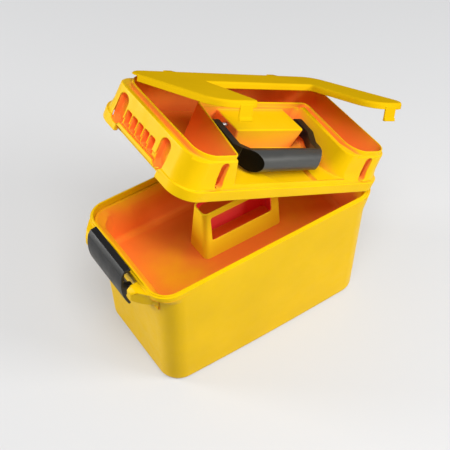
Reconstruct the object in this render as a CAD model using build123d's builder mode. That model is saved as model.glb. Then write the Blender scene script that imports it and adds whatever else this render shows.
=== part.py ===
from build123d import *
import os

# Carrying case in moulded plastic: a deep tub, a hinged lid with a storage compartment on top,
# a U-shaped cover over that compartment, a folding handle, an end latch and a lift-out tray.
# X runs from the latch end (-X) to the lid hinge (+X), the front is -Y, and the tub stands on Z = 0.
# The lid and what it carries are drawn closed, then turned open about their hinges at the end.

# Tub
rim_length = 365
rim_width = 202
rim_height = 209
rim_corner = 32
wall = 3
floor_thickness = 4
foot_round = 7
latch_end_inset = 12
hinge_end_inset = 5
latch_end_draft = 5
hinge_end_draft = 2
collar_height = 22
front_draft = 7.5
back_draft = 11
front_bow = 2.5
rim_band = 8
tongue_inset = 2.5
tongue_width = 2.5
tongue_height = 2.5
ledge_width = 2.5
ledge_drop = 10
ledge_height = 9
ledge_slope = 7.5
flare_height = 38
flare_reach = 9.5
flare_drop = 4
flare_sunk = 0.6

# Lid
lid_gap = 0.3
lid_overhang = 4
lid_wall = 3
flange_height = 14.7
flange_step = 4
foot_flare = 3.2
foot_flare_height = 14
shoulder_height = 53
shoulder_inset = 8.3
lip_height = 7
lip_width = 2.5
groove_width = 5
bead_height = 4
bay_count = 5
bay_pitch = 13.7
bay_width = 11.5
bay_back = 45
bay_height = 22
bay_round = 2.5
bay_wall = 3
skirt_notch = 9.5
land_height = 8
end_scoop_width = 20
end_scoop_height = 41
end_stock_width = 132
land_spare = 3.5
end_groove = 7.5

# Compartment in the lid: insets from the rim, widths of its two arms at their front and back ends,
# and corner radii in the order of its outline
pocket_inset_latch = 15.5
pocket_inset_hinge = 12.5
pocket_inset_front = 13.5
pocket_inset_back = 15
pocket_floor_height = 7
left_arm_widths = (55, 76)
right_arm_widths = (65, 57)
channel_width = 55
pocket_rounds = (24, 24, 5, 6, 10, 24, 19, 20)

# Handle recess between the two arms of the compartment
tower_front = 17
tower_back = 15
recess_slope = 10
recess_round = 8
recess_back_gap = 3
left_tower_round = 8
right_tower_round = 17
right_tower_foot_round = 28
brow_spare = 0.4
foot_inset = 6.8
brow_inset = 9
shelf_thickness = 3
shelf_height = 20
scoop_depth = 5.5
scoop_inset_left = 15
scoop_inset_right = 21
scoop_back_gap = 14
scoop_front_inset = 6
scoop_round = 28
scoop_back_round = 3
deck_gap_left = 35.5
deck_gap_right = 27
deck_length = 48
deck_taper_left = 3
deck_taper_right = 8
deck_height = 49
deck_round = 4

# Folding handle
arm_gap_left = 20
arm_gap_right = 10
arm_pull_left = 14
arm_pull_right = 29
arm_thickness = 12
pivot_behind_deck_front = 23
handle_pivot_height = 42
grip_inset = 28
grip_drop = 3
grip_radius = 14.5
eye_radius = 7.5
arm_half_height = 6.3
arm_flare_length = 27
arm_bend_gap = 3
handle_pin_radius = 3
pin_seat = 2.5

# Cover over the compartment
cover_gap = 0.3
cover_plate = 2.5
cover_round = 3.5
cover_skirt = 6.5
skirt_back_gap = 26
cover_grow = 5
cover_grow_front = 8.2
tab_width = 21
tab_drop = 17
tab_thickness = 2.5
tab_lip = 1.6
cover_skirt_wall = 2.2
cover_front_inner = 5.7
tab_inset = 6.8
slot_width = 12
slot_stock_half = 17.5
slot_height = 36
slot_inset_left = 54.5
slot_inset_right = 45
cover_axis_inset = 4.5
cover_axis_height = 56.5
cover_knuckle_radius = 3.6
cover_pin_radius = 1.5
cover_knuckle_length = 14
cover_station_inset = 87.5

# Lid hinge
lid_axis_out = 3.5
knuckle_radius = 5
lid_pin_radius = 2.5
knuckle_length = 24
knuckle_count = 5

# Latch and its bracket on the end wall
latch_length = 90
latch_middle = 3
latch_axis_out = 7.5
latch_axis_drop = 15.7
latch_top = 35
latch_tail = 33
latch_belly = 13
latch_plate = 4.5
hook_reach = 8
hook_thickness = 4
latch_boss_radius = 5
latch_ear = 7
latch_pin_radius = 2
latch_pin_seat = 4.5
bracket_reach = 9.5
bracket_drop = 42
bracket_belly = 28.5
bracket_sunk = 2
bracket_root = 14
cheek_round = 5
front_cheek = 9
back_cheek = 12
cheek_sweep = 21
latch_side_gap_front = 7
latch_side_gap_back = 2

# Lift-out tray
tray_wall = 2.5
tray_gap = 0.8
tray_clearance = 1.6
tray_depth = 62
tray_draft = 4
tray_corner = 22
tray_floor_round = 10
tray_lip = 1.2
throat_inset_latch = 15
throat_inset_hinge = 12
throat_inset_side = 12
spine_inset_latch = 127.5
spine_inset_hinge = 110.5
spine_top_half = 14.5
spine_foot_half = 23
spine_rise = 14
spine_splay = 3
spine_round = 8
window_inset_left = 11
window_inset_right = 15
window_drop = 9
window_height = 43
window_round = 4

# Fits and rest pose
pin_clearance = 0.05
side_clearance = 0.4
knuckle_clearance = 0.6
lid_open = 27.3
cover_open = 21.5
latch_open = 8

# Worked out from the values above
lid_bottom = rim_height + lid_gap
flange_top = lid_bottom + flange_height
shoulder_top = lid_bottom + shoulder_height
lip_top = shoulder_top + lip_height
shelf_top = lid_bottom + shelf_height
deck_top = lid_bottom + deck_height
pocket_floor = lid_bottom + pocket_floor_height
lid_axis_x = rim_length / 2 + lid_axis_out
lid_low_x = -rim_length / 2 - lid_overhang
lid_high_x = rim_length / 2 + 1.5
handle_axis_z = lid_bottom + handle_pivot_height
latch_axis_z = rim_height - latch_axis_drop
ledge_top = rim_height - ledge_drop
latch_back = latch_middle + latch_length / 2
latch_front = latch_middle - latch_length / 2
notch_back = latch_back + latch_side_gap_back
notch_front = latch_front - latch_side_gap_front
cover_axis_z = lid_bottom + cover_axis_height
raised_top = shoulder_top + bead_height
cover_axis_y = rim_width / 2 - cover_axis_inset
cover_station_x = rim_length / 2 - cover_station_inset
tab_inner_y = -rim_width / 2 + tab_inset
left_slot_x = -rim_length / 2 + slot_inset_left
right_slot_x = rim_length / 2 - slot_inset_right
pocket_left = -rim_length / 2 + pocket_inset_latch
pocket_right = rim_length / 2 - pocket_inset_hinge
pocket_front = -rim_width / 2 + pocket_inset_front
pocket_back = rim_width / 2 - pocket_inset_back
channel_front = pocket_back - channel_width
bead_back = channel_front - lip_width - groove_width
groove_outer_x = pocket_left - lip_width - end_groove
bay_bottom_x = pocket_left - lip_width - bay_wall
left_arm_front = pocket_left + left_arm_widths[0]
left_arm_back = pocket_left + left_arm_widths[1]
right_arm_front = pocket_right - right_arm_widths[0]
right_arm_back = pocket_right - right_arm_widths[1]
recess_left_front = left_arm_front + lip_width
recess_left_back = left_arm_back + lip_width
recess_right_front = right_arm_front - tower_front
recess_right_back = right_arm_back - tower_back
recess_back = channel_front - recess_back_gap
recess_mouth_y = -rim_width / 2 - 10
recess_foot_y = -rim_width / 2 + foot_inset
recess_brow_y = -rim_width / 2 + brow_inset
shelf_brow_y = -rim_width / 2 + flange_step + foot_flare * 0.4 - brow_spare
top_brow_y = -rim_width / 2 + shoulder_inset - brow_spare
deck_left = recess_left_back + deck_gap_left
deck_right = recess_right_back - deck_gap_right
deck_front = recess_back - deck_length
scoop_left = deck_left + scoop_inset_left
scoop_right = deck_right - scoop_inset_right
scoop_back = deck_front - scoop_back_gap
scoop_front = -rim_width / 2 + scoop_front_inset
scoop_corner = min(scoop_round, (scoop_back - scoop_front) * 0.46)
arm_left = deck_left - arm_gap_left
arm_right = deck_right + arm_gap_right
handle_pivot_y = deck_front + pivot_behind_deck_front
arm_bend_y = deck_front - arm_bend_gap
grip_y = -rim_width / 2 + grip_inset
grip_z = handle_axis_z - grip_drop
left_pin_span = (deck_left + lid_wall - 0.5, recess_left_back - pin_seat)
right_pin_span = (deck_right - lid_wall - 1, recess_right_front + 3.5 + pin_seat)
cover_seat = lip_top + cover_gap
cover_pin_half = cover_knuckle_length * 1.5 + knuckle_clearance
hinge_front_y = -(knuckle_count * knuckle_length + (knuckle_count - 1) * knuckle_clearance) / 2
lid_knuckles = range(1, knuckle_count, 2)
tub_knuckles = range(0, knuckle_count, 2)
latch_axis_x = -rim_length / 2 - latch_axis_out
bracket_outer_x = latch_axis_x - bracket_reach
bracket_inner_x = -rim_length / 2 + bracket_root
bracket_top = rim_height - bracket_sunk
ledge_foot = ledge_top - ledge_height
tray_floor_z = ledge_top - tray_depth
tray_flange_z = ledge_top + lid_gap
opening_inset = tongue_inset + tongue_width
spine_left = -rim_length / 2 + spine_inset_latch
spine_right = rim_length / 2 - spine_inset_hinge
window_left = spine_left + window_inset_left
window_right = spine_right - window_inset_right
spine_top = rim_height + spine_rise


def outline(height, x_low, x_high, y_low, y_high, corner):
    """Rounded rectangle between these limits, lying at this height."""
    with BuildSketch(Plane.XY.offset(height)) as section:
        with Locations(((x_low + x_high) / 2, (y_low + y_high) / 2)):
            RectangleRounded(x_high - x_low, y_high - y_low, corner)
    return section.sketch


def rim_outline(height, inset):
    """The rim's outline, drawn in by an inset."""
    half_length = rim_length / 2 - inset
    half_width = rim_width / 2 - inset
    return outline(height, -half_length, half_length, -half_width, half_width, rim_corner - inset)


def tub_outline(height, inset):
    """The tub's tapered wall at a height: its front and back bow outward towards the foot."""
    down = (rim_height - height) / rim_height
    x_low = -rim_length / 2 + latch_end_inset + latch_end_draft * down + inset
    x_high = rim_length / 2 - hinge_end_inset - hinge_end_draft * down - inset
    y_low = -rim_width / 2 + front_draft * down + inset
    y_high = rim_width / 2 - back_draft * down - inset
    bow = front_bow * (0.2 + 0.8 * down)
    middle = (x_low + x_high) / 2
    with BuildSketch(Plane.XY.offset(height)) as section:
        with BuildLine():
            Line((x_high, y_low), (x_high, y_high))
            ThreePointArc((x_high, y_high), (middle, y_high + bow), (x_low, y_high))
            Line((x_low, y_high), (x_low, y_low))
            ThreePointArc((x_low, y_low), (middle, y_low - bow), (x_high, y_low))
        make_face()
        fillet(section.vertices(), rim_corner - 1 - inset)
    return section.sketch


def lid_outline(height, inset):
    """The lid's outline at a height, drawn in by an inset that is smaller at the two ends."""
    return outline(
        height,
        lid_low_x + inset * 0.4,
        lid_high_x - inset * 0.6,
        -rim_width / 2 + inset,
        rim_width / 2 - inset,
        rim_corner - inset / 2,
    )


def throat_outline(height, inset):
    """The tub's inner throat that the tray's lower half hangs in, drawn in by an inset."""
    return outline(
        height,
        -rim_length / 2 + throat_inset_latch + inset,
        rim_length / 2 - throat_inset_hinge - inset,
        -rim_width / 2 + throat_inset_side + inset,
        rim_width / 2 - throat_inset_side - inset,
        tray_corner - inset / 2,
    )


def compartment_outline(height, grow, front_grow):
    """The U of the lid's compartment: a back channel with an arm down each side."""
    left = pocket_left - grow
    right = pocket_right + grow
    front = pocket_front - front_grow
    back = pocket_back + grow
    channel = channel_front - grow
    rounds = [corner + grow for corner in pocket_rounds]
    rounds[3:5] = [corner - grow for corner in pocket_rounds[3:5]]
    with BuildSketch(Plane.XY.offset(height)) as section:
        with BuildLine():
            FilletPolyline(
                (left, back),
                (left, front),
                (left_arm_front + grow, front),
                (left_arm_back + grow, channel),
                (right_arm_back - grow, channel),
                (right_arm_front - grow, front),
                (right, front),
                (right, back),
                radius=rounds,
                close=True,
            )
        make_face()
    return section.sketch


def recess_outline(height, slope, brow, right_round):
    """The handle recess between the arms, open to the front past two rounded tower corners."""
    left = recess_left_front + slope
    right = recess_right_front - slope
    with BuildSketch(Plane.XY.offset(height)) as section:
        with BuildLine():
            FilletPolyline(
                (left, brow),
                (left - 2 * left_tower_round, brow),
                (left - 2 * left_tower_round, recess_mouth_y),
                (right + 2 * right_tower_foot_round, recess_mouth_y),
                (right + 2 * right_tower_foot_round, brow),
                (right, brow),
                (recess_right_back - slope, recess_back),
                (recess_left_back + slope, recess_back),
                radius=[left_tower_round, 1, 1, 1, 1, right_round, recess_round, recess_round],
                close=True,
            )
        make_face()
    return section.sketch


def recess_stock(height, slope, front):
    """Outline of the solid stock round the recess, with more of it behind the right tower's corner."""
    with BuildSketch(Plane.XY.offset(height)) as section:
        with BuildLine():
            Polyline(
                (recess_left_front + slope - left_tower_round - lid_wall, front),
                (recess_right_front - slope + right_tower_foot_round, front),
                (recess_right_front - slope + lid_wall, front + right_tower_foot_round + lid_wall),
                (recess_right_back - slope + lid_wall, recess_back + lid_wall),
                (recess_left_back + slope - lid_wall, recess_back + lid_wall),
                close=True,
            )
        make_face()
    return section.sketch


def slot_stock(height, middle, front):
    """Outline of the solid stock behind one catch slot."""
    with BuildSketch(Plane.XY.offset(height)) as section:
        with Locations((middle, (front + pocket_front) / 2)):
            Rectangle(2 * slot_stock_half, pocket_front - front - 1)
    return section.sketch


def deck_outline(height, inset, back):
    """The deck that stands in the recess: its two ends lean in towards the foot."""
    drop = (deck_top - height) / (deck_top - shelf_top)
    left = deck_left + deck_taper_left * drop + inset
    right = deck_right - deck_taper_right * drop - inset
    with BuildSketch(Plane.XY.offset(height)) as section:
        with Locations(((left + right) / 2, (deck_front + inset + back) / 2)):
            Rectangle(right - left, back - deck_front - inset)
    return section.sketch


def round_bar(start, end, radius):
    """Round bar between two points."""
    bar_axis = Vector(*end) - Vector(*start)
    bar = Cylinder(
        radius,
        bar_axis.length,
        align=(Align.CENTER, Align.CENTER, Align.MIN),
        mode=Mode.PRIVATE,
    )
    return Plane(origin=start, z_dir=bar_axis) * bar


def block(x_low, x_high, y_low, y_high, z_low, z_high):
    """Box between these limits."""
    middle = Location(((x_low + x_high) / 2, (y_low + y_high) / 2, (z_low + z_high) / 2))
    return middle * Box(x_high - x_low, y_high - y_low, z_high - z_low, mode=Mode.PRIVATE)


def knuckle_bar(index, radius, spare):
    """One knuckle of the lid hinge along Y, counted from the front, with some length to spare."""
    start = hinge_front_y + index * (knuckle_length + knuckle_clearance)
    return round_bar(
        (lid_axis_x, start - spare, rim_height),
        (lid_axis_x, start + knuckle_length + spare, rim_height),
        radius,
    )


def cover_knuckle(station, side, radius):
    """One knuckle of the cover's hinge along X: side is -1 or 1 for the lid's and 0 for the cover's."""
    middle = station + side * (cover_knuckle_length + knuckle_clearance)
    half = cover_knuckle_length / 2
    return round_bar(
        (middle - half, cover_axis_y, cover_axis_z), (middle + half, cover_axis_y, cover_axis_z), radius
    )


def latch_plane(place_y):
    """Upright plane across the latch's axis, facing the front."""
    return Plane(origin=(latch_axis_x, place_y, latch_axis_z), x_dir=(1, 0, 0), z_dir=(0, -1, 0))


# Tub: tapered shell, rim with its tongue, a flared collar at each end, a ledge for the tray,
# the latch bracket on the end wall and three knuckles of the lid hinge.
with BuildPart() as base_tub:
    loft(sections=[tub_outline(0, 0), tub_outline(rim_height, 0)], ruled=True)
    fillet(base_tub.faces().sort_by(Axis.Z)[0].edges(), foot_round)
    loft(
        sections=[
            tub_outline(rim_height - flare_height, flare_sunk),
            outline(
                rim_height - flare_drop,
                -rim_length / 2 + latch_end_inset,
                rim_length / 2 - hinge_end_inset + flare_reach,
                -rim_width / 2 + 0.5,
                rim_width / 2 - 0.5,
                rim_corner,
            ),
        ],
        ruled=True,
    )
    loft(
        sections=[
            tub_outline(rim_height - collar_height, flare_sunk),
            outline(
                rim_height - rim_band,
                -rim_length / 2,
                rim_length / 2 - hinge_end_inset,
                -rim_width / 2 + 0.5,
                rim_width / 2 - 0.5,
                rim_corner,
            ),
        ],
        ruled=True,
    )
    extrude(rim_outline(rim_height - rim_band, 0), amount=rim_band)
    extrude(rim_outline(rim_height, tongue_inset), amount=tongue_height)

    with BuildPart(mode=Mode.PRIVATE) as bracket:
        with BuildSketch(Plane.XZ.offset(-rim_width / 2)):
            with BuildLine():
                Polyline(
                    (bracket_outer_x, latch_axis_z - 5),
                    (bracket_outer_x + 0.5, bracket_top - 6),
                    (bracket_outer_x + 6.5, bracket_top),
                    (bracket_inner_x, bracket_top),
                    (bracket_inner_x, rim_height - bracket_drop),
                )
                ThreePointArc(
                    (bracket_inner_x, rim_height - bracket_drop),
                    (bracket_outer_x + 15.5, rim_height - bracket_belly),
                    (bracket_outer_x, latch_axis_z - 5),
                )
            make_face()
        extrude(amount=rim_width)
        with BuildSketch(Plane.XY):
            with BuildLine():
                Polyline(
                    (bracket_inner_x, notch_back + back_cheek + cheek_sweep),
                    (bracket_inner_x, notch_front - front_cheek - cheek_sweep),
                    (-rim_length / 2 + 1.5, notch_front - front_cheek - cheek_sweep),
                    (bracket_outer_x, notch_front - front_cheek),
                    (bracket_outer_x, notch_back + back_cheek),
                    (-rim_length / 2 + 1.5, notch_back + back_cheek + cheek_sweep),
                    close=True,
                )
            make_face()
        extrude(amount=rim_height, mode=Mode.INTERSECT)
        corners = bracket.edges().filter_by_position(Axis.X, bracket_outer_x - 1, bracket_outer_x + 9)
        fillet(corners.filter_by(Axis.Y, reverse=True), cheek_round)
    add(bracket.part)
    add(
        block(-rim_length / 2 - 30, -rim_length / 2, notch_front, notch_back, 100, rim_height + 5),
        mode=Mode.SUBTRACT,
    )
    add(
        block(
            -rim_length / 2 - 30,
            bracket_inner_x - 4.5,
            notch_front,
            notch_back,
            100,
            ledge_top - wall,
        ),
        mode=Mode.SUBTRACT,
    )
    add(
        round_bar(
            (latch_axis_x, notch_front - latch_pin_seat, latch_axis_z),
            (latch_axis_x, notch_back + latch_pin_seat, latch_axis_z),
            latch_pin_radius + pin_clearance,
        ),
        mode=Mode.SUBTRACT,
    )

    loft(
        sections=[tub_outline(floor_thickness, wall), tub_outline(ledge_foot - ledge_slope, wall)],
        ruled=True,
        mode=Mode.SUBTRACT,
    )
    loft(
        sections=[tub_outline(ledge_foot - ledge_slope, wall), throat_outline(ledge_foot, 0)],
        ruled=True,
        mode=Mode.SUBTRACT,
    )
    loft(
        sections=[throat_outline(ledge_foot, 0), rim_outline(ledge_top, opening_inset + ledge_width)],
        ruled=True,
        mode=Mode.SUBTRACT,
    )
    extrude(
        rim_outline(ledge_top, opening_inset), amount=ledge_drop + tongue_height, mode=Mode.SUBTRACT
    )

    for index in lid_knuckles:
        add(
            knuckle_bar(index, knuckle_radius + knuckle_clearance, knuckle_clearance),
            mode=Mode.SUBTRACT,
        )
    for index in tub_knuckles:
        add(knuckle_bar(index, knuckle_radius, 0))
    add(
        round_bar(
            (lid_axis_x, hinge_front_y - 1, rim_height),
            (lid_axis_x, -hinge_front_y + 1, rim_height),
            lid_pin_radius + pin_clearance,
        ),
        mode=Mode.SUBTRACT,
    )


# Lift-out tray: it hangs by its flange on the tub's ledge and carries a hollow spine with a window
# through both of its long walls.
with BuildPart() as lift_out_tray:
    loft(
        sections=[
            throat_outline(tray_floor_z, tray_clearance + tray_draft),
            throat_outline(ledge_foot, tray_clearance),
        ],
        ruled=True,
    )
    loft(
        sections=[
            throat_outline(ledge_foot, tray_clearance),
            rim_outline(tray_flange_z, opening_inset + ledge_width + tray_gap),
        ],
        ruled=True,
    )
    extrude(rim_outline(tray_flange_z, opening_inset + tray_gap), amount=tray_wall)
    loft(
        sections=[
            throat_outline(ledge_foot, tray_clearance + tray_wall),
            rim_outline(
                tray_flange_z + tray_wall, opening_inset + ledge_width + tray_gap + tray_lip
            ),
        ],
        ruled=True,
        mode=Mode.SUBTRACT,
    )
    with BuildPart(mode=Mode.PRIVATE) as tray_well:
        loft(
            sections=[
                throat_outline(tray_floor_z + tray_wall, tray_clearance + tray_draft + tray_wall),
                throat_outline(ledge_foot, tray_clearance + tray_wall),
            ],
            ruled=True,
        )
        fillet(tray_well.faces().sort_by(Axis.Z)[0].edges(), tray_floor_round)
    add(tray_well.part, mode=Mode.SUBTRACT)
    loft(
        sections=[
            outline(
                tray_floor_z + tray_wall / 2,
                spine_left - spine_splay,
                spine_right + spine_splay,
                -spine_foot_half,
                spine_foot_half,
                spine_round,
            ),
            outline(spine_top, spine_left, spine_right, -spine_top_half, spine_top_half, spine_round),
        ],
        ruled=True,
    )
    loft(
        sections=[
            outline(
                tray_floor_z + tray_wall,
                spine_left - spine_splay + tray_wall,
                spine_right + spine_splay - tray_wall,
                -spine_foot_half + tray_wall,
                spine_foot_half - tray_wall,
                spine_round - 2,
            ),
            outline(
                spine_top,
                spine_left + tray_wall,
                spine_right - tray_wall,
                -spine_top_half + tray_wall,
                spine_top_half - tray_wall,
                spine_round - 2,
            ),
        ],
        ruled=True,
        mode=Mode.SUBTRACT,
    )
    with BuildSketch(Plane.XZ.offset(-rim_width / 4)):
        with Locations(
            ((window_left + window_right) / 2, spine_top - window_drop - window_height / 2)
        ):
            RectangleRounded(window_right - window_left, window_height, window_round)
    extrude(amount=rim_width / 2, mode=Mode.SUBTRACT)


# Lid: a stepped shell open below, with the U-shaped compartment, the handle recess and its deck
# sunk into its top, ribbed bays over the latch, catch slots in front and knuckles at two edges.
with BuildPart() as lid_shell:
    extrude(lid_outline(lid_bottom, 0), amount=flange_height)
    loft(
        sections=[
            lid_outline(flange_top, flange_step),
            lid_outline(flange_top + foot_flare_height, flange_step + foot_flare),
            lid_outline(shoulder_top, shoulder_inset),
        ],
        ruled=True,
    )
    extrude(
        rim_outline(lid_bottom, tongue_inset - lid_gap),
        amount=flange_height - lid_wall,
        mode=Mode.SUBTRACT,
    )
    loft(
        sections=[
            lid_outline(flange_top - lid_wall, flange_step + lid_wall),
            lid_outline(flange_top + foot_flare_height, flange_step + foot_flare + lid_wall),
            lid_outline(shoulder_top - lid_wall, shoulder_inset + lid_wall),
        ],
        ruled=True,
        mode=Mode.SUBTRACT,
    )

    # Solid stock for the raised bead over the latch end and for the walls sunk into the shell
    with BuildSketch(Plane.XY.offset(shoulder_top)):
        add(lid_outline(shoulder_top, shoulder_inset))
        with Locations((groove_outer_x + 250, 0)):
            Rectangle(500, 500, mode=Mode.SUBTRACT)
    extrude(amount=bead_height)
    add(
        block(
            lid_low_x + 5,
            pocket_left,
            latch_middle - end_stock_width / 2,
            latch_middle + end_stock_width / 2,
            rim_height + tongue_height + lid_gap,
            shoulder_top - 1,
        )
    )
    extrude(
        compartment_outline(pocket_floor - lid_wall, lip_width, lip_width),
        amount=lip_top - pocket_floor + lid_wall,
    )
    loft(
        sections=[
            recess_stock(shelf_top - shelf_thickness, recess_slope, recess_foot_y),
            recess_stock(shoulder_top, 0, recess_brow_y),
        ],
        ruled=True,
    )
    add(
        block(
            scoop_left - lid_wall,
            scoop_right + lid_wall,
            recess_foot_y,
            scoop_back + lid_wall,
            shelf_top - scoop_depth - lid_wall,
            shelf_top,
        )
    )
    for slot_x in (left_slot_x, right_slot_x):
        loft(
            sections=[
                slot_stock(flange_top - lid_wall, slot_x, recess_foot_y),
                slot_stock(shoulder_top, slot_x, recess_brow_y),
            ],
            ruled=True,
        )
    with BuildSketch(Plane.XY.offset(shoulder_top)):
        with BuildLine():
            Polyline(
                (recess_right_front - recess_slope, -rim_width / 2 + shoulder_inset),
                (right_arm_front + groove_width, -rim_width / 2 + shoulder_inset),
                (right_arm_front - lip_width - groove_width, pocket_front + pocket_rounds[5]),
                (right_arm_back - lip_width - groove_width, bead_back),
                (recess_right_front - recess_slope, bead_back),
                close=True,
            )
        make_face()
    extrude(amount=bead_height)

    # The compartment and the recess are cut last, and the deck stands again in the recess
    extrude(
        compartment_outline(pocket_floor, 0, 0),
        amount=lip_top - pocket_floor + 1,
        mode=Mode.SUBTRACT,
    )
    loft(
        sections=[
            recess_outline(shelf_top, recess_slope, shelf_brow_y, right_tower_foot_round),
            recess_outline(raised_top, 0, top_brow_y, right_tower_round),
        ],
        ruled=True,
        mode=Mode.SUBTRACT,
    )
    extrude(
        recess_outline(raised_top, 0, top_brow_y, right_tower_round),
        amount=lip_top - raised_top + 1,
        mode=Mode.SUBTRACT,
    )
    with BuildSketch(Plane.XY.offset(shelf_top)):
        with BuildLine():
            FilletPolyline(
                (scoop_left, scoop_back),
                (scoop_left, scoop_front),
                (scoop_right, scoop_front),
                (scoop_right, scoop_back),
                radius=[scoop_corner, scoop_corner, scoop_back_round, scoop_back_round],
                close=True,
            )
        make_face()
    extrude(amount=-scoop_depth, mode=Mode.SUBTRACT, taper=20)
    with BuildPart(mode=Mode.PRIVATE) as deck:
        loft(
            sections=[
                deck_outline(shelf_top - shelf_thickness, 0, recess_back + lip_width),
                deck_outline(deck_top, 0, recess_back + lip_width),
            ],
            ruled=True,
        )
        uprights = deck.edges().filter_by(Axis.X, reverse=True).filter_by(Axis.Y, reverse=True)
        fillet(uprights.group_by(Axis.Y)[0], deck_round)
        fillet(deck.faces().sort_by(Axis.Z)[-1].edges().group_by(Axis.Y)[0:-1], 2)
    add(deck.part)
    loft(
        sections=[
            deck_outline(shelf_top - shelf_thickness - 1, lid_wall, recess_back - lid_wall),
            deck_outline(deck_top - lid_wall, lid_wall, recess_back - lid_wall),
        ],
        ruled=True,
        mode=Mode.SUBTRACT,
    )

    # Latch end: bays between ribs, a land for the hook, two finger scoops and a notch in the skirt
    with BuildSketch(Plane.YZ.offset(lid_low_x - 1)):
        for bay in range(bay_count):
            with Locations(
                (bay_back - bay_width / 2 - bay * bay_pitch, flange_top + bay_height / 2)
            ):
                RectangleRounded(bay_width, bay_height, bay_round)
        for scoop_y in (latch_back + end_scoop_width / 2, latch_front + end_scoop_width / 2 - 8):
            with Locations((scoop_y, lid_bottom + skirt_notch + end_scoop_height / 2)):
                RectangleRounded(end_scoop_width, end_scoop_height, end_scoop_width / 2 - 1)
    extrude(amount=bay_bottom_x - lid_low_x + 1, mode=Mode.SUBTRACT)
    for notch_x, notch_foot, notch_top in (
        (lid_low_x + flange_step + side_clearance, flange_top, flange_top + land_height),
        (-rim_length / 2 + tongue_inset, lid_bottom, lid_bottom + skirt_notch),
    ):
        add(
            block(
                lid_low_x - 1,
                notch_x,
                latch_front - land_spare,
                latch_back + land_spare,
                notch_foot,
                notch_top,
            ),
            mode=Mode.SUBTRACT,
        )

    # Catch slots in the front wall
    with BuildSketch(Plane.XZ.offset(rim_width / 2 + 1)):
        for slot_x in (left_slot_x, right_slot_x):
            with Locations((slot_x, flange_top + slot_height / 2)):
                RectangleRounded(slot_width, slot_height, slot_width / 2 - 0.5)
    extrude(
        amount=-(rim_width / 2 + 1 + pocket_front + 1),
        mode=Mode.SUBTRACT,
    )

    # Hinges: the lid's knuckles, the cover's knuckles on their webs, and the handle's pin holes
    for index in tub_knuckles:
        add(
            knuckle_bar(index, knuckle_radius + knuckle_clearance, knuckle_clearance),
            mode=Mode.SUBTRACT,
        )
    for index in lid_knuckles:
        add(knuckle_bar(index, knuckle_radius, 0))
    add(
        round_bar(
            (lid_axis_x, hinge_front_y - 1, rim_height),
            (lid_axis_x, -hinge_front_y + 1, rim_height),
            lid_pin_radius + pin_clearance,
        ),
        mode=Mode.SUBTRACT,
    )
    for station in (-cover_station_x, cover_station_x):
        for side in (-1, 1):
            middle = station + side * (cover_knuckle_length + knuckle_clearance)
            with BuildSketch(Plane.YZ.offset(middle - cover_knuckle_length / 2)):
                with BuildLine():
                    Polyline(
                        (rim_width / 2 - shoulder_inset - 2, shoulder_top - 12),
                        (rim_width / 2 - shoulder_inset + 1, shoulder_top - 12),
                        (cover_axis_y + cover_knuckle_radius, cover_axis_z - 4),
                        (cover_axis_y + cover_knuckle_radius, cover_axis_z),
                        (cover_axis_y - cover_knuckle_radius, cover_axis_z),
                        (rim_width / 2 - shoulder_inset - 2, shoulder_top - 1),
                        close=True,
                    )
                make_face()
            extrude(amount=cover_knuckle_length)
            add(cover_knuckle(station, side, cover_knuckle_radius))
        for side in (-1, 1):
            add(
                cover_knuckle(station, side, cover_pin_radius + pin_clearance),
                mode=Mode.SUBTRACT,
            )
    for pin_inner, pin_outer in (left_pin_span, right_pin_span):
        add(
            round_bar(
                (pin_inner, handle_pivot_y, handle_axis_z),
                (pin_outer, handle_pivot_y, handle_axis_z),
                handle_pin_radius + pin_clearance,
            ),
            mode=Mode.SUBTRACT,
        )


# Cover: one plate over the whole compartment with a skirt outside its lip, two snap tabs in front
# and one knuckle at each hinge station.
with BuildPart() as compartment_cover:
    extrude(
        compartment_outline(cover_seat - cover_skirt, cover_grow, cover_grow_front),
        amount=cover_skirt + cover_plate,
    )
    fillet(compartment_cover.faces().sort_by(Axis.Z)[-1].edges(), cover_round)
    extrude(
        compartment_outline(cover_seat, cover_grow - cover_skirt_wall, cover_front_inner),
        amount=-cover_skirt,
        mode=Mode.SUBTRACT,
    )
    add(
        block(-250, 250, pocket_back - skirt_back_gap, 250, 0, cover_seat),
        mode=Mode.SUBTRACT,
    )
    for tab_x in (left_slot_x, right_slot_x):
        with BuildSketch(Plane.YZ.offset(tab_x - tab_width / 2)):
            with BuildLine():
                Polyline(
                    (tab_inner_y, cover_seat - 1),
                    (tab_inner_y, cover_seat - tab_drop - 5),
                    (tab_inner_y - tab_thickness - tab_lip, cover_seat - tab_drop - 5),
                    (tab_inner_y - tab_thickness - tab_lip, cover_seat - tab_drop - 2),
                    (tab_inner_y - tab_thickness, cover_seat - tab_drop),
                    (tab_inner_y - tab_thickness, cover_seat - 3),
                    (tab_inner_y - 1, cover_seat - 1),
                    close=True,
                )
            make_face()
        extrude(amount=tab_width)
    for station in (-cover_station_x, cover_station_x):
        add(
            block(
                station - cover_knuckle_length / 2,
                station + cover_knuckle_length / 2,
                pocket_back + cover_grow - 2,
                cover_axis_y,
                cover_seat,
                cover_seat + cover_plate,
            )
        )
        add(
            block(
                station - cover_knuckle_length / 2,
                station + cover_knuckle_length / 2,
                cover_axis_y - cover_knuckle_radius,
                cover_axis_y,
                cover_axis_z,
                cover_seat + cover_plate,
            )
        )
        add(cover_knuckle(station, 0, cover_knuckle_radius))
        add(cover_knuckle(station, 0, cover_pin_radius + pin_clearance), mode=Mode.SUBTRACT)


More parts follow.
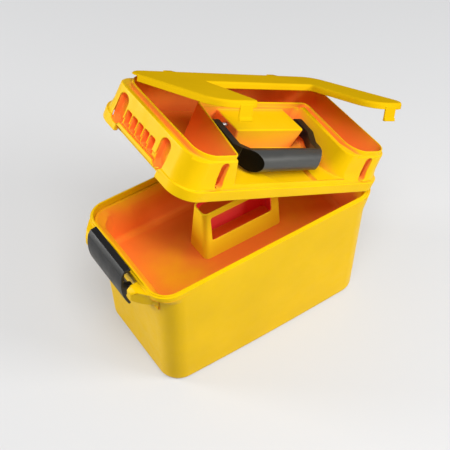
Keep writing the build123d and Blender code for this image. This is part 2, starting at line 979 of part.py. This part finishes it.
# Folding handle: two arms that taper inward to a thick round grip
with BuildPart() as carry_handle:
    eye = (handle_pivot_y, handle_axis_z, eye_radius)
    elbow = (grip_y + arm_flare_length, grip_z + 1, arm_half_height)
    grip_end = (grip_y, grip_z, grip_radius)
    for stretch in ((eye, elbow), (elbow, grip_end)):
        with BuildSketch(Plane.YZ.offset(arm_left - arm_thickness / 2)):
            for place_y, place_z, radius in stretch:
                with Locations((place_y, place_z)):
                    Circle(radius)
            make_hull()
        extrude(amount=arm_right - arm_left + arm_thickness)
    with BuildSketch(Plane.XY):
        with BuildLine():
            Polyline(
                (arm_left - arm_thickness / 2, handle_pivot_y + eye_radius),
                (arm_left + arm_thickness / 2, handle_pivot_y + eye_radius),
                (arm_left + arm_thickness / 2, arm_bend_y),
                (arm_left + arm_thickness / 2 + arm_pull_left, grip_y),
                (arm_right - arm_thickness / 2 - arm_pull_right, grip_y),
                (arm_right - arm_thickness / 2, arm_bend_y),
                (arm_right - arm_thickness / 2, handle_pivot_y + eye_radius),
                (arm_right + arm_thickness / 2, handle_pivot_y + eye_radius),
                (arm_right + arm_thickness / 2, arm_bend_y),
                (arm_right + arm_thickness / 2 - arm_pull_right, grip_y),
                (arm_right + arm_thickness / 2 - arm_pull_right, grip_y - grip_radius),
                (arm_left - arm_thickness / 2 + arm_pull_left, grip_y - grip_radius),
                (arm_left - arm_thickness / 2 + arm_pull_left, grip_y),
                (arm_left - arm_thickness / 2, arm_bend_y),
                close=True,
            )
        make_face()
    extrude(amount=lip_top + 50, mode=Mode.INTERSECT)
    add(
        round_bar(
            (arm_left + arm_thickness / 2 + arm_pull_left - 2, grip_y, grip_z),
            (arm_right - arm_thickness / 2 - arm_pull_right + 2, grip_y, grip_z),
            grip_radius,
        )
    )
    add(
        round_bar(
            (arm_left - arm_thickness, handle_pivot_y, handle_axis_z),
            (arm_right + arm_thickness, handle_pivot_y, handle_axis_z),
            handle_pin_radius + pin_clearance,
        ),
        mode=Mode.SUBTRACT,
    )


# Latch: a bowed plate with a hook along its top and a pivot ear at each end
with BuildPart() as latch:
    with BuildSketch(latch_plane(latch_back)):
        with BuildLine():
            Line((-1, latch_top + 0.5), (-6.4, latch_top - 5.4))
            ThreePointArc((-6.4, latch_top - 5.4), (-latch_belly, 0), (-8.6, -latch_tail))
            Line((-8.6, -latch_tail), (-5.3, -latch_tail + 0.4))
            ThreePointArc((-5.3, -latch_tail + 0.4), (latch_plate - latch_belly, 0), (-2, latch_top - 5))
            Line((-2, latch_top - 5), (-2, latch_top - hook_thickness))
            Line((-2, latch_top - hook_thickness), (hook_reach, latch_top - hook_thickness))
            Line((hook_reach, latch_top - hook_thickness), (hook_reach, latch_top))
            Line((hook_reach, latch_top), (-1, latch_top + 0.5))
        make_face()
    extrude(amount=latch_length)
    for ear_back in (latch_back, latch_front + latch_ear):
        with BuildSketch(latch_plane(ear_back)):
            Circle(latch_boss_radius)
            with BuildLine():
                Polyline(
                    (latch_plate - latch_belly - 1, 12),
                    (0, latch_boss_radius),
                    (0, -latch_boss_radius),
                    (latch_plate - latch_belly - 1, -12),
                    close=True,
                )
            make_face()
        extrude(amount=latch_ear)
    add(
        round_bar(
            (latch_axis_x, latch_front - 1, latch_axis_z),
            (latch_axis_x, latch_back + 1, latch_axis_z),
            latch_pin_radius + pin_clearance,
        ),
        mode=Mode.SUBTRACT,
    )


# Pins
with BuildPart() as lid_hinge_pin:
    add(
        round_bar(
            (lid_axis_x, hinge_front_y, rim_height),
            (lid_axis_x, -hinge_front_y, rim_height),
            lid_pin_radius,
        )
    )
with BuildPart() as latch_pin:
    add(
        round_bar(
            (latch_axis_x, notch_front - latch_pin_seat, latch_axis_z),
            (latch_axis_x, notch_back + latch_pin_seat, latch_axis_z),
            latch_pin_radius,
        )
    )
with BuildPart() as handle_pin_left:
    add(
        round_bar(
            (left_pin_span[0], handle_pivot_y, handle_axis_z),
            (left_pin_span[1], handle_pivot_y, handle_axis_z),
            handle_pin_radius,
        )
    )
with BuildPart() as handle_pin_right:
    add(
        round_bar(
            (right_pin_span[0], handle_pivot_y, handle_axis_z),
            (right_pin_span[1], handle_pivot_y, handle_axis_z),
            handle_pin_radius,
        )
    )
with BuildPart() as cover_hinge_pin_left:
    add(
        round_bar(
            (-cover_station_x - cover_pin_half, cover_axis_y, cover_axis_z),
            (-cover_station_x + cover_pin_half, cover_axis_y, cover_axis_z),
            cover_pin_radius,
        )
    )
with BuildPart() as cover_hinge_pin_right:
    add(
        round_bar(
            (cover_station_x - cover_pin_half, cover_axis_y, cover_axis_z),
            (cover_station_x + cover_pin_half, cover_axis_y, cover_axis_z),
            cover_pin_radius,
        )
    )

# Rest pose: the lid and all it carries stand ajar, the cover stands ajar on the lid, and the latch
# hangs clear of the lid.
lid_axis = Axis((lid_axis_x, 0, rim_height), (0, 1, 0))
cover_axis = Axis((0, cover_axis_y, cover_axis_z), (-1, 0, 0))
latch_axis = Axis((latch_axis_x, 0, latch_axis_z), (0, -1, 0))
compartment_cover.part = compartment_cover.part.rotate(cover_axis, cover_open)
for carried in (
    lid_shell,
    compartment_cover,
    carry_handle,
    handle_pin_left,
    handle_pin_right,
    cover_hinge_pin_left,
    cover_hinge_pin_right,
):
    carried.part = carried.part.rotate(lid_axis, lid_open)
latch.part = latch.part.rotate(latch_axis, latch_open)

base_tub.part.label = "base_tub"
lift_out_tray.part.label = "lift_out_tray"
lid_shell.part.label = "lid_shell"
compartment_cover.part.label = "compartment_cover"
carry_handle.part.label = "carry_handle"
latch.part.label = "latch"
lid_hinge_pin.part.label = "lid_hinge_pin"
latch_pin.part.label = "latch_pin"
handle_pin_left.part.label = "handle_pin_left"
handle_pin_right.part.label = "handle_pin_right"
cover_hinge_pin_left.part.label = "cover_hinge_pin_left"
cover_hinge_pin_right.part.label = "cover_hinge_pin_right"

os.makedirs("parts", exist_ok=True)
for piece in (
    base_tub,
    lift_out_tray,
    lid_shell,
    compartment_cover,
    carry_handle,
    latch,
    lid_hinge_pin,
    latch_pin,
    handle_pin_left,
    handle_pin_right,
    cover_hinge_pin_left,
    cover_hinge_pin_right,
):
    export_step(piece.part, f"parts/{piece.part.label}.step")
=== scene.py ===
import math

import bmesh
import bpy
from mathutils import Matrix, Vector
from mathutils.bvhtree import BVHTree


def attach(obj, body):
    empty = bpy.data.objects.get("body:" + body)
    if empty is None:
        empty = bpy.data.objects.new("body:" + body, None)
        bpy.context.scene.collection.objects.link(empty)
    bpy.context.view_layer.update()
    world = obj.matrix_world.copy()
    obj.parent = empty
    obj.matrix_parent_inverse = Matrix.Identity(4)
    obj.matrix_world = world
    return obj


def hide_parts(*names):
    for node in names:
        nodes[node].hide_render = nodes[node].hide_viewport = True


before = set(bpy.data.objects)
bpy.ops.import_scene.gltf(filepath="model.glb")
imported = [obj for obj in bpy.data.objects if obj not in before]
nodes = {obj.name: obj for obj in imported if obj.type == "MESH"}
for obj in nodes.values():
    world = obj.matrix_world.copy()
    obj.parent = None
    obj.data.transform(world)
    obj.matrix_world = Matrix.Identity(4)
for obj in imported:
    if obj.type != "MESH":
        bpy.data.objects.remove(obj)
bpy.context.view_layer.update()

# ---------------------------------------------------------------------------------------------
# Tub: one deep moulding in through-coloured yellow plastic. The mould leaves every edge with a
# small radius and a fine grain on the skin. Its hollows get painted shade: their colour is
# painted orange to red for the shade and the light that bounces about in them. Lengths are in
# metres.
SAME_PLACE = 0.000002
TOO_SHORT = 0.00001
SLIVER = 0.0003
FLAT_ENOUGH = math.radians(0.6)
SHARP_TO_ROUND = math.radians(32)
SHARP_TO_SHADE = math.radians(46)


def moulded_plastic(
    name,
    open_colour,
    painted_shade_colour,
    shade_reach,
    shallow,
    deep,
    shade_mottle=0.1,
    gloss=0.12,
    glint=(1, 0.75, 0.12),
    metallic=0,
):
    """Grained plastic with one colour in the open and a painted shade colour in its hollows."""
    material = bpy.data.materials.new(name)
    material.use_nodes = True
    tree = material.node_tree
    shader = tree.nodes["Principled BSDF"]
    shader.inputs["Specular IOR Level"].default_value = gloss
    shader.inputs["Specular Tint"].default_value = (*glint, 1)
    shader.inputs["Metallic"].default_value = metallic
    link = tree.links.new
    place = tree.nodes.new("ShaderNodeTexCoord")

    clouds = tree.nodes.new("ShaderNodeTexNoise")
    clouds.inputs["Scale"].default_value = 9
    clouds.inputs["Detail"].default_value = 4
    link(place.outputs["Object"], clouds.inputs["Vector"])
    # Painted shade: where occlusion is high the colour is mixed towards the painted shade
    # colour, and noise stirred into the occlusion mottles it.
    shade_occlusion = tree.nodes.new("ShaderNodeAmbientOcclusion")
    shade_occlusion.samples = 8
    shade_occlusion.only_local = True
    shade_occlusion.inputs["Distance"].default_value = shade_reach
    stir = tree.nodes.new("ShaderNodeMath")
    stir.operation = "MULTIPLY_ADD"
    stir.inputs[1].default_value = shade_mottle
    link(clouds.outputs["Fac"], stir.inputs[0])
    link(shade_occlusion.outputs["AO"], stir.inputs[2])
    depth = tree.nodes.new("ShaderNodeMapRange")
    depth.interpolation_type = "SMOOTHSTEP"
    depth.inputs["From Min"].default_value = deep + shade_mottle / 2
    depth.inputs["From Max"].default_value = shallow + shade_mottle / 2
    link(stir.outputs["Value"], depth.inputs["Value"])
    painted_shade_mix = tree.nodes.new("ShaderNodeMix")
    painted_shade_mix.data_type = "RGBA"
    painted_shade_mix.inputs["A"].default_value = (*painted_shade_colour, 1)
    painted_shade_mix.inputs["B"].default_value = (*open_colour, 1)
    link(depth.outputs["Result"], painted_shade_mix.inputs["Factor"])

    flow = tree.nodes.new("ShaderNodeMapRange")
    flow.inputs["From Min"].default_value = 0.35
    flow.inputs["From Max"].default_value = 0.65
    flow.inputs["To Min"].default_value = 0.94
    flow.inputs["To Max"].default_value = 1.03
    link(clouds.outputs["Fac"], flow.inputs["Value"])
    shade = tree.nodes.new("ShaderNodeVectorMath")
    shade.operation = "SCALE"
    link(painted_shade_mix.outputs["Result"], shade.inputs[0])
    link(flow.outputs["Result"], shade.inputs["Scale"])
    link(shade.outputs["Vector"], shader.inputs["Base Color"])

    rubs = tree.nodes.new("ShaderNodeTexNoise")
    rubs.inputs["Scale"].default_value = 60
    rubs.inputs["Detail"].default_value = 5
    link(place.outputs["Object"], rubs.inputs["Vector"])
    wear = tree.nodes.new("ShaderNodeMapRange")
    wear.inputs["From Min"].default_value = 0.3
    wear.inputs["From Max"].default_value = 0.7
    wear.inputs["To Min"].default_value = 0.3
    wear.inputs["To Max"].default_value = 0.46
    link(rubs.outputs["Fac"], wear.inputs["Value"])
    link(wear.outputs["Result"], shader.inputs["Roughness"])

    grain = tree.nodes.new("ShaderNodeTexNoise")
    grain.inputs["Scale"].default_value = 900
    grain.inputs["Detail"].default_value = 2
    link(place.outputs["Object"], grain.inputs["Vector"])
    skin = tree.nodes.new("ShaderNodeBump")
    skin.inputs["Strength"].default_value = 0.3
    skin.inputs["Distance"].default_value = 0.0002
    link(grain.outputs["Fac"], skin.inputs["Height"])
    link(skin.outputs["Normal"], shader.inputs["Normal"])
    return material


def round_the_edges(name, edge_round, material, reshape=None):
    """A copy of the solid with its sharp edges rounded, which stands in for it."""
    build = bmesh.new()
    build.from_mesh(nodes[name].data)
    bmesh.ops.remove_doubles(build, verts=build.verts, dist=SAME_PLACE)
    if reshape:
        reshape(build)
    bmesh.ops.dissolve_limit(
        build, angle_limit=FLAT_ENOUGH, verts=build.verts, edges=build.edges
    )
    bmesh.ops.triangulate(build, faces=build.faces, quad_method="BEAUTY", ngon_method="BEAUTY")

    # Corners that the rounding throws off the solid go back onto it.
    solid = BVHTree.FromBMesh(build)
    sharp = [edge for edge in build.edges if edge.calc_face_angle(0) > SHARP_TO_ROUND]
    bmesh.ops.bevel(
        build,
        geom=sharp,
        offset=edge_round,
        offset_type="OFFSET",
        segments=2,
        profile=0.5,
        affect="EDGES",
        material=-1,
    )
    for corner in build.verts:
        seat, _, _, gap = solid.find_nearest(corner.co)
        if gap > edge_round / 2:
            corner.co = seat

    mesh = bpy.data.meshes.new(f"{name}_moulding")
    build.to_mesh(mesh)
    build.free()
    mesh.shade_smooth()
    mesh.set_sharp_from_angle(angle=SHARP_TO_SHADE)
    mesh.materials.append(material)
    moulding = bpy.data.objects.new(mesh.name, mesh)
    bpy.context.scene.collection.objects.link(moulding)
    even = moulding.modifiers.new("even shading", "WEIGHTED_NORMAL")
    even.keep_sharp = True
    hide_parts(name)
    return moulding


shell_yellow = moulded_plastic(
    "shell_yellow",
    (0.77, 0.47, 0.002),
    (1, 0.26, 0.045),
    shade_reach=0.1,
    shallow=0.72,
    deep=0.42,
)

# The cheeks stand proud of the wall from their foot up to the tub's flare. Each entry gives the
# side of the tub in Y, the X that only the cheek lies outside of, and the wall's own X.
CHEEK_TOP = 0.194
CHEEK_SLACK = 0.0005
CHEEK_PROUD = 0.0125
FLARE_FOOT = 0.19
SWEEP_START = 0.063
FRONT_CHEEK = {
    "side": -1,
    "outside_of": -0.1716,
    "width": (0.063, 0.0795),
    "sweep": 0.016,
    "foot": 0.1705,
    "wall": -0.1686,
    "flared_wall": -0.1747,
}
BACK_CHEEK = {
    "side": 1,
    "outside_of": -0.1687,
    "width": (0.065, 0.0835),
    "sweep": 0.02,
    "foot": 0.1675,
    "wall": -0.16898,
    "flared_wall": -0.17355,
}


def sweep_the_cheeks(build):
    """Both cheeks of the latch bracket run out flush with the flared wall."""
    bmesh.ops.bisect_plane(
        build,
        geom=[*build.verts, *build.edges, *build.faces],
        plane_co=(0, 0, CHEEK_TOP),
        plane_no=(0, 0, 1),
    )
    for cheek in (FRONT_CHEEK, BACK_CHEEK):
        inner, outer = cheek["width"]
        for corner in build.verts:
            x, y, z = corner.co
            across = cheek["side"] * y
            if x >= cheek["outside_of"] or not inner < across < outer:
                continue
            if cheek["foot"] < z < CHEEK_TOP + CHEEK_SLACK:
                wall = cheek["wall"] if z < FLARE_FOOT else cheek["flared_wall"]
                along = (across - SWEEP_START) / cheek["sweep"]
                corner.co.x = min(x + CHEEK_PROUD * along**2, wall)
    bmesh.ops.dissolve_degenerate(build, dist=TOO_SHORT, edges=build.edges)


tub = round_the_edges("base_tub", 0.0008, shell_yellow, reshape=sweep_the_cheeks)
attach(tub, "base")

# ---------------------------------------------------------------------------------------------
# Lift-out tray: a thinner moulding in the same plastic, hung on the tub's ledge by its flange.
# Its colour is painted orange, a painted shade for its place deep in the tub, which noise
# mottles into painted patches of light. The spine is painted a lighter yellow, a painted light
# where it stands up into the light, round a hand slot painted red as painted shade.
# Painted shade: the tray's yellow plastic is painted orange, deepest in its hollows, and noise
# mottles it into painted patches of light.
tray_painted_shade = moulded_plastic(
    "tray_painted_shade",
    (0.8, 0.38, 0.008),
    (0.86, 0.2, 0.03),
    shade_reach=0.14,
    shallow=0.98,
    deep=0.5,
    shade_mottle=1.1,
)
# Painted light: the spine is painted lighter than the tub's plastic, where it stands in the
# light.
spine_painted_light = moulded_plastic(
    "spine_painted_light",
    (0.9, 0.66, 0.015),
    (0.98, 0.72, 0.03),
    shade_reach=0.04,
    shallow=0.8,
    deep=0.3,
)
# Painted shade: the inside faces of the hand slot are painted red.
window_painted_shade = moulded_plastic(
    "window_painted_shade",
    (1, 0.25, 0.05),
    (1, 0.07, 0.07),
    shade_reach=0.04,
    shallow=0.95,
    deep=0.7,
)
SPINE_SLOT, WINDOW_SLOT = 1, 2
SPINE_MIDDLE = Vector((0.0085, 0, 0.18))
SPINE_HALF_LENGTH = 0.067
SPINE_HALF_WIDTH = 0.0235
SPINE_FOOT = 0.1405
SPINE_CROWN = 0.2
tray = round_the_edges("lift_out_tray", 0.0008, tray_painted_shade)
tray.data.materials.append(spine_painted_light)
tray.data.materials.append(window_painted_shade)
for face in tray.data.polygons:
    away = face.center - SPINE_MIDDLE
    beside = abs(away.x) < SPINE_HALF_LENGTH and abs(away.y) < SPINE_HALF_WIDTH
    if beside and face.center.z > SPINE_FOOT:
        faces_an_end = abs(face.normal.x) > 0.7
        faces_up = face.normal.z > 0.9
        axis = 0 if faces_an_end else 1
        outside = away[axis] * face.normal[axis] > 0
        on_top = faces_up and face.center.z > SPINE_CROWN
        face.material_index = SPINE_SLOT if outside or on_top else WINDOW_SLOT
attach(tray, "tray")

# ---------------------------------------------------------------------------------------------
# Lid and its compartment cover, in the tub's plastic. The cover is a plain plate with a dull
# skin, so that its flat top doesn't shine, and its colour is painted darker than the tub's as
# painted shade on its flat top.
lid = round_the_edges("lid_shell", 0.0009, shell_yellow)
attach(lid, "lid")
# Painted shade: the cover's plastic is painted a darker yellow than the tub's.
cover_painted_shade = moulded_plastic(
    "cover_painted_shade",
    (0.66, 0.39, 0.003),
    (0.95, 0.3, 0.04),
    shade_reach=0.03,
    shallow=0.6,
    deep=0.3,
    gloss=0,
)
cover = round_the_edges("compartment_cover", 0.0006, cover_painted_shade)
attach(cover, "cover")

# ---------------------------------------------------------------------------------------------
# Handle and latch: black nylon, a little glossier than the shell. The grip is worn shiny, and
# its cut ends are painted near black as painted shade, in place of a dark socket. The handle is
# shaped as it lies in a shut lid.
# Painted shade: the nylon is painted darker still in its hollows.
black_nylon = moulded_plastic(
    "black_nylon",
    (0.007, 0.007, 0.007),
    (0.003, 0.003, 0.003),
    shade_reach=0.05,
    shallow=0.9,
    deep=0.4,
    gloss=0.3,
    glint=(1, 1, 0.95),
)
lid_hinge = Matrix.Translation((0.186, 0, 0.209))
lid_tilt = lid_hinge @ Matrix.Rotation(math.radians(27.3), 4, "Y") @ lid_hinge.inverted()

SHADED_END_SLOT, GRIP_SLOT = 1, 2
ARM_ROOT = -0.023
ARM_LENGTH = 0.0355
ARM_SHIFT = 0.01
LEFT_ARM_INSIDE = -0.03
GRIP_THICKNESS = 0.029
GRIP_BACK = -0.0585
LEFT_CUT = {"x": -0.079, "slant": 0.0235}
RIGHT_CUT = {"x": 0.0664, "slant": 0.0205}


def mitre_the_grip(build):
    """The left arm runs straighter and both ends of the grip are cut on the slant."""
    bmesh.ops.transform(build, matrix=lid_tilt.inverted(), verts=build.verts)
    for corner in build.verts:
        if corner.co.x < LEFT_ARM_INSIDE and corner.co.y < ARM_ROOT:
            corner.co.x -= ARM_SHIFT * min(1, (ARM_ROOT - corner.co.y) / ARM_LENGTH)
    for end in (LEFT_CUT, RIGHT_CUT):
        side = math.copysign(1, end["x"])
        cut = bmesh.ops.bisect_plane(
            build,
            geom=[*build.verts, *build.edges, *build.faces],
            plane_co=(end["x"], GRIP_BACK, 0),
            plane_no=Vector((side * GRIP_THICKNESS, -end["slant"], 0)),
            clear_outer=True,
        )
        rim = [part for part in cut["geom_cut"] if isinstance(part, bmesh.types.BMEdge)]
        bmesh.ops.edgeloop_fill(build, edges=rim, mat_nr=SHADED_END_SLOT)
    bmesh.ops.dissolve_degenerate(build, dist=SLIVER, edges=build.edges)
    bmesh.ops.transform(build, matrix=lid_tilt, verts=build.verts)
    bmesh.ops.recalc_face_normals(build, faces=build.faces)


# Painted shade: the grip is painted near black in its hollows.
grip_nylon = moulded_plastic(
    "grip_nylon",
    (0.035, 0.035, 0.032),
    (0.004, 0.004, 0.004),
    shade_reach=0.05,
    shallow=0.9,
    deep=0.5,
    gloss=0.7,
    glint=(1, 1, 0.95),
)
# Painted shade: the grip's cut ends are painted near black, standing in for a socket in shade.
grip_end_painted_shade = moulded_plastic(
    "grip_end_painted_shade",
    (0.002, 0.002, 0.002),
    (0.001, 0.001, 0.001),
    shade_reach=0.05,
    shallow=0.9,
    deep=0.4,
)
GRIP_AXIS_Y, GRIP_AXIS_Z = -0.073, 0.2483
GRIP_REACH = 0.01475
GRIP_LEFT, GRIP_RIGHT = -0.078, 0.066
GRIP_INSIDE = -0.06
handle = round_the_edges("carry_handle", 0.0006, black_nylon, reshape=mitre_the_grip)
handle.data.materials.append(grip_end_painted_shade)
handle.data.materials.append(grip_nylon)
for face in handle.data.polygons:
    place = lid_tilt.inverted() @ face.center
    across = Vector((0, place.y - GRIP_AXIS_Y, place.z - GRIP_AXIS_Z)).length
    on_grip = across < GRIP_REACH and place.y < GRIP_INSIDE and GRIP_LEFT < place.x < GRIP_RIGHT
    if on_grip and face.material_index != SHADED_END_SLOT:
        face.material_index = GRIP_SLOT
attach(handle, "handle")
latch = round_the_edges("latch", 0.0006, black_nylon)
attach(latch, "latch_lever")

# ---------------------------------------------------------------------------------------------
# Pins: drawn steel wire cut to length, one through the lid's hinge, one through the latch, and
# a pair each for the handle and the cover. They keep their own solids.
# Painted shade: the steel is painted darker in its hollows.
pin_steel = moulded_plastic(
    "pin_steel",
    (0.6, 0.6, 0.6),
    (0.4, 0.4, 0.4),
    shade_reach=0.02,
    shallow=0.9,
    deep=0.4,
    glint=(1, 1, 1),
    metallic=1,
)
for name in (
    "lid_hinge_pin",
    "latch_pin",
    "handle_pin_left",
    "handle_pin_right",
    "cover_hinge_pin_left",
    "cover_hinge_pin_right",
):
    nodes[name].data.materials.clear()
    nodes[name].data.materials.append(pin_steel)

# ---------------------------------------------------------------------------------------------
# Stage: a pale floor that is lifted towards white for the camera alone, a cool sky, three soft
# boxes and the camera.
FLOOR_REACH = 6
FLOOR_LIFT = 0.3
floor_mesh = bpy.data.meshes.new("floor")
floor_build = bmesh.new()
bmesh.ops.create_grid(floor_build, x_segments=1, y_segments=1, size=FLOOR_REACH)
floor_build.to_mesh(floor_mesh)
floor_build.free()
floor = bpy.data.objects.new("floor", floor_mesh)
bpy.context.scene.collection.objects.link(floor)
floor_paint = bpy.data.materials.new("floor_paint")
floor_paint.use_nodes = True
paint = floor_paint.node_tree
matt = paint.nodes["Principled BSDF"]
matt.inputs["Base Color"].default_value = (0.55, 0.55, 0.55, 1)
matt.inputs["Roughness"].default_value = 0.8
glance = paint.nodes.new("ShaderNodeLightPath")
lift = paint.nodes.new("ShaderNodeEmission")
lift.inputs["Color"].default_value = (1, 1, 1, 1)
paint.links.new(glance.outputs["Is Camera Ray"], lift.inputs["Strength"])
pale = paint.nodes.new("ShaderNodeMixShader")
pale.inputs["Fac"].default_value = FLOOR_LIFT
paint.links.new(matt.outputs["BSDF"], pale.inputs[1])
paint.links.new(lift.outputs["Emission"], pale.inputs[2])
whole = paint.nodes.new("ShaderNodeMixShader")
paint.links.new(glance.outputs["Is Camera Ray"], whole.inputs["Fac"])
paint.links.new(matt.outputs["BSDF"], whole.inputs[1])
paint.links.new(pale.outputs["Shader"], whole.inputs[2])
paint.links.new(whole.outputs["Shader"], paint.nodes["Material Output"].inputs["Surface"])
floor_mesh.materials.append(floor_paint)

world = bpy.data.worlds.new("studio")
world.use_nodes = True
sky = world.node_tree
skylight = sky.nodes["Background"]
skylight.inputs["Color"].default_value = (0.9, 0.93, 1, 1)
skylight.inputs["Strength"].default_value = 0.32
backdrop = sky.nodes.new("ShaderNodeBackground")
backdrop.inputs["Color"].default_value = (0.93, 0.93, 0.93, 1)
seen = sky.nodes.new("ShaderNodeLightPath")
split = sky.nodes.new("ShaderNodeMixShader")
sky.links.new(seen.outputs["Is Camera Ray"], split.inputs["Fac"])
sky.links.new(skylight.outputs["Background"], split.inputs[1])
sky.links.new(backdrop.outputs["Background"], split.inputs[2])
sky.links.new(split.outputs["Shader"], sky.nodes["World Output"].inputs["Surface"])
bpy.context.scene.world = world


def face_towards(thing, target):
    thing.rotation_euler = (Vector(target) - thing.location).to_track_quat("-Z", "Y").to_euler()


def soft_box(name, place, aim, width, power):
    lamp = bpy.data.lights.new(name, "AREA")
    lamp.size = width
    lamp.energy = power
    stand = bpy.data.objects.new(name, lamp)
    stand.location = place
    face_towards(stand, aim)
    bpy.context.scene.collection.objects.link(stand)


soft_box("front_right", (1.2, -1.4, 1.2), aim=(0, 0, 0.15), width=0.8, power=32)
soft_box("left_back", (-1.6, 1.4, 0.6), aim=(0, 0, 0.12), width=0.7, power=32)
soft_box("overhead", (-0.35, -0.8, 2.1), aim=(0, 0, 0.2), width=0.8, power=31)

lens = bpy.data.cameras.new("camera")
lens.lens = 86.4
lens.sensor_width = 36
camera = bpy.data.objects.new("camera", lens)
camera.location = (-0.5842, -0.8511, 1.3153)
face_towards(camera, (0.0224, 0.0482, 0.1))
bpy.context.scene.collection.objects.link(camera)
bpy.context.scene.camera = camera
bpy.context.scene.view_settings.view_transform = "Standard"
